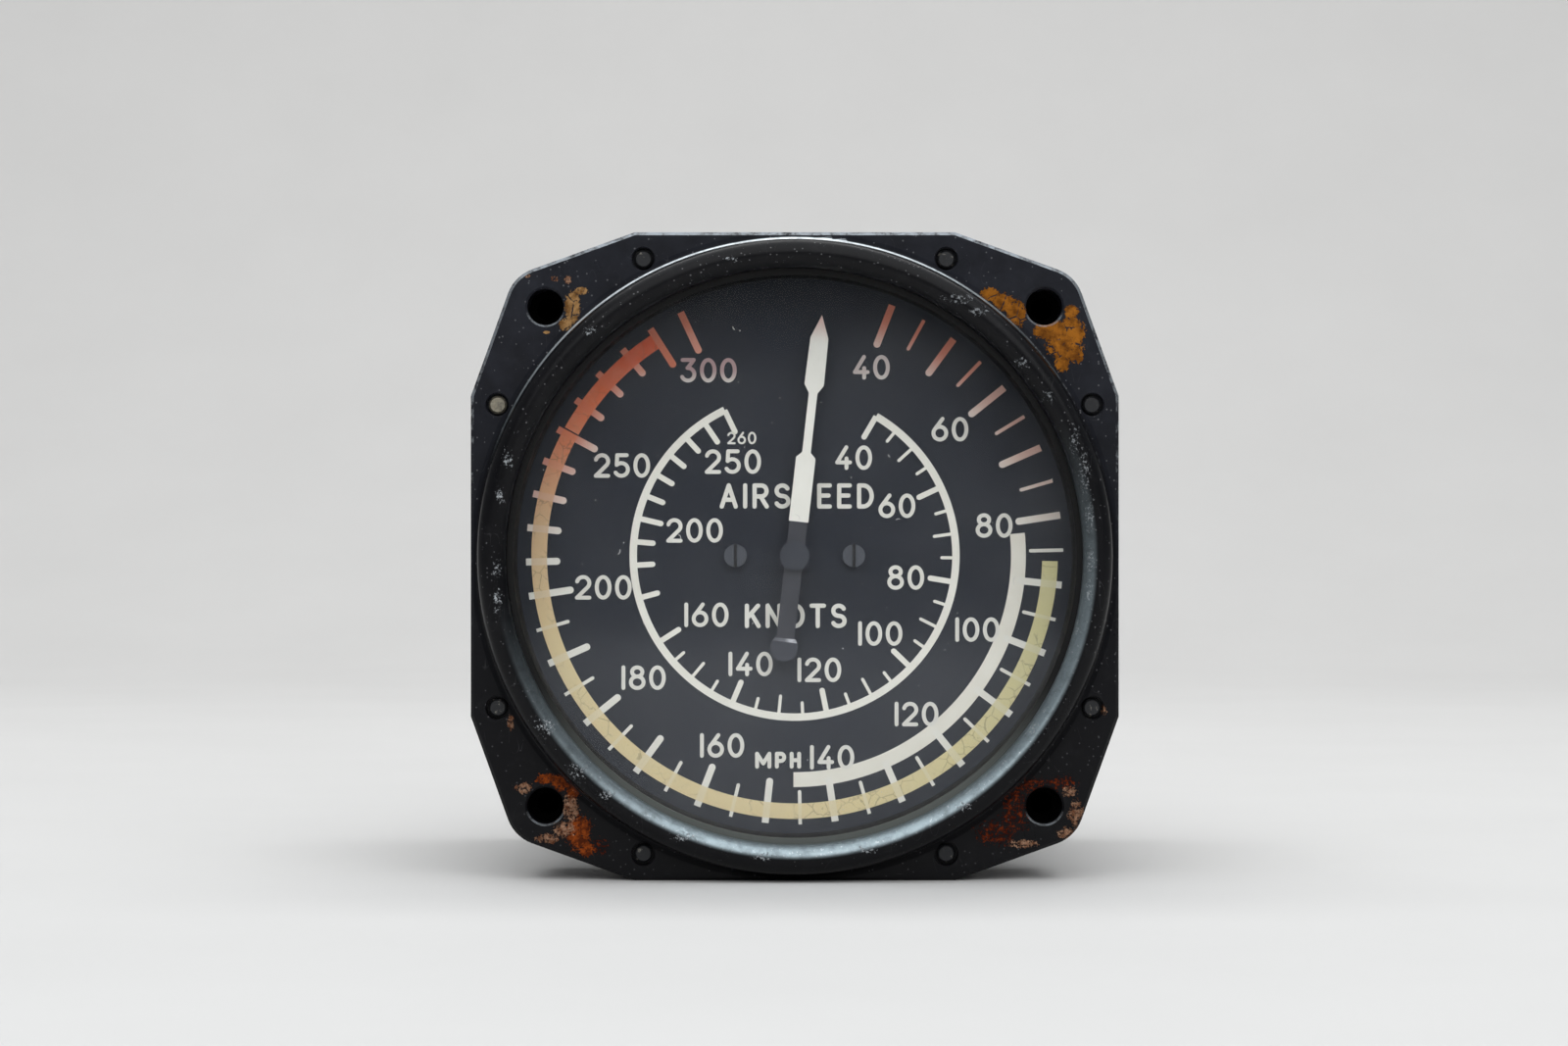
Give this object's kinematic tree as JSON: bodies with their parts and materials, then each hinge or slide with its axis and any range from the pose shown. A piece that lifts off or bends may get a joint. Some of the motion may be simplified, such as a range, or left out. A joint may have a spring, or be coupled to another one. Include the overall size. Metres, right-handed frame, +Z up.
{
  "type": "airspeed indicator",
  "caption": "Round panel airspeed indicator with a lobed square flange, a domed glass bezel, a double scale dial, and a pointer geared to a pressure capsule.",
  "frame": {"origin": "centre of the four panel screw holes, on the front face of the mounting flange", "axes": "dial faces -Y, +X is to the right as seen by the pilot, +Z is up at 12 o'clock, the case runs back along +Y"},
  "size_m": [0.0816, 0.076, 0.0816],
  "materials": {
    "enamel": "semi-gloss black enamel, chipped and rusted",
    "glass": "clear plate glass",
    "gasket": "matte black rubber",
    "spacer": "matte black paint",
    "dial_black": "matte black paint",
    "dial_print": "cream print",
    "flap_paint": "white paint",
    "normal_paint": "faded green paint",
    "caution_paint": "faded yellow paint",
    "limit_paint": "red paint",
    "pointer_paint": "white paint with a black tail",
    "pointer_black": "matte black paint",
    "screw_steel": "dulled steel",
    "plate_metal": "plain sheet",
    "brass": "turned brass",
    "shaft_steel": "polished steel",
    "spring_steel": "blued spring strip",
    "capsule_metal": "thin spring bronze"
  },
  "bodies": {
    "housing": {"case": "enamel", "bezel": "enamel", "cover_glass": "glass", "front_gasket": "gasket", "rear_gasket": "gasket", "stem_gasket": "gasket", "spacer_ring": "spacer", "dial": "dial_black", "dial_screws": "dial_black", "mph_marks": "dial_print", "knots_marks": "dial_print", "flap_arc": "flap_paint", "normal_arc": "normal_paint", "caution_arc": "caution_paint", "limit_mark": "limit_paint", "bezel_screws": "screw_steel", "case_screws": "screw_steel", "plate_screws": "screw_steel", "bracket_screws": "screw_steel", "front_plate": "plate_metal", "rear_plate": "plate_metal", "base_plate": "plate_metal", "rocker_bracket": "plate_metal", "dial_posts": "brass", "plate_spacers": "brass", "frame_pillars": "brass", "staff_bushes": "brass", "sector_bushes": "brass", "hairspring_stud": "brass", "capsule_stem": "brass", "stem_nut": "brass", "hairspring": "spring_steel", "capsule": "capsule_metal"},
    "pointer_group": {"pointer": "pointer_paint", "pointer_hub": "pointer_black", "balance_weight": "pointer_black", "handstaff": "shaft_steel", "hairspring_collet": "brass"},
    "sector_group": {"sector_gear": "brass", "sector_arbor": "shaft_steel", "drive_pin": "shaft_steel"},
    "rocker_group": {"rocking_shaft": "shaft_steel", "capsule_lever": "brass", "drive_arm": "brass"},
    "capsule_group": {"capsule_post": "brass", "link_pin": "shaft_steel"}
  },
  "joints": [
    {"name": "pointer_turn", "type": "hinge", "parent": "housing", "child": "pointer_group", "pos_m": [0, 0.008, 0], "axis": [0, 1, 0], "range_deg": [0, 328], "stiffness_Nm_per_rad": 0.00005, "springref_deg": -20.05, "deforming": ["hairspring", "capsule"]},
    {"name": "sector_turn", "type": "hinge", "parent": "housing", "child": "sector_group", "pos_m": [-0.02006, 0.0205, 0.008], "axis": [0, 1, 0], "range_deg": [-41, 0]},
    {"name": "rocker_turn", "type": "hinge", "parent": "housing", "child": "rocker_group", "pos_m": [0, 0.035, 0.00688], "axis": [-1, 0, 0], "range_deg": [0, 20.17]},
    {"name": "capsule_rise", "type": "slide", "parent": "housing", "child": "capsule_group", "axis": [0, -1, 0], "range_m": [0, 0.00245]}
  ],
  "couplings": [
    {"joint": "sector_turn", "follows": "pointer_turn", "ratio": -0.125},
    {"joint": "rocker_turn", "follows": "pointer_turn", "ratio": 0.061492},
    {"joint": "capsule_rise", "follows": "pointer_turn", "m_per_rad": 0.00042749}
  ]
}
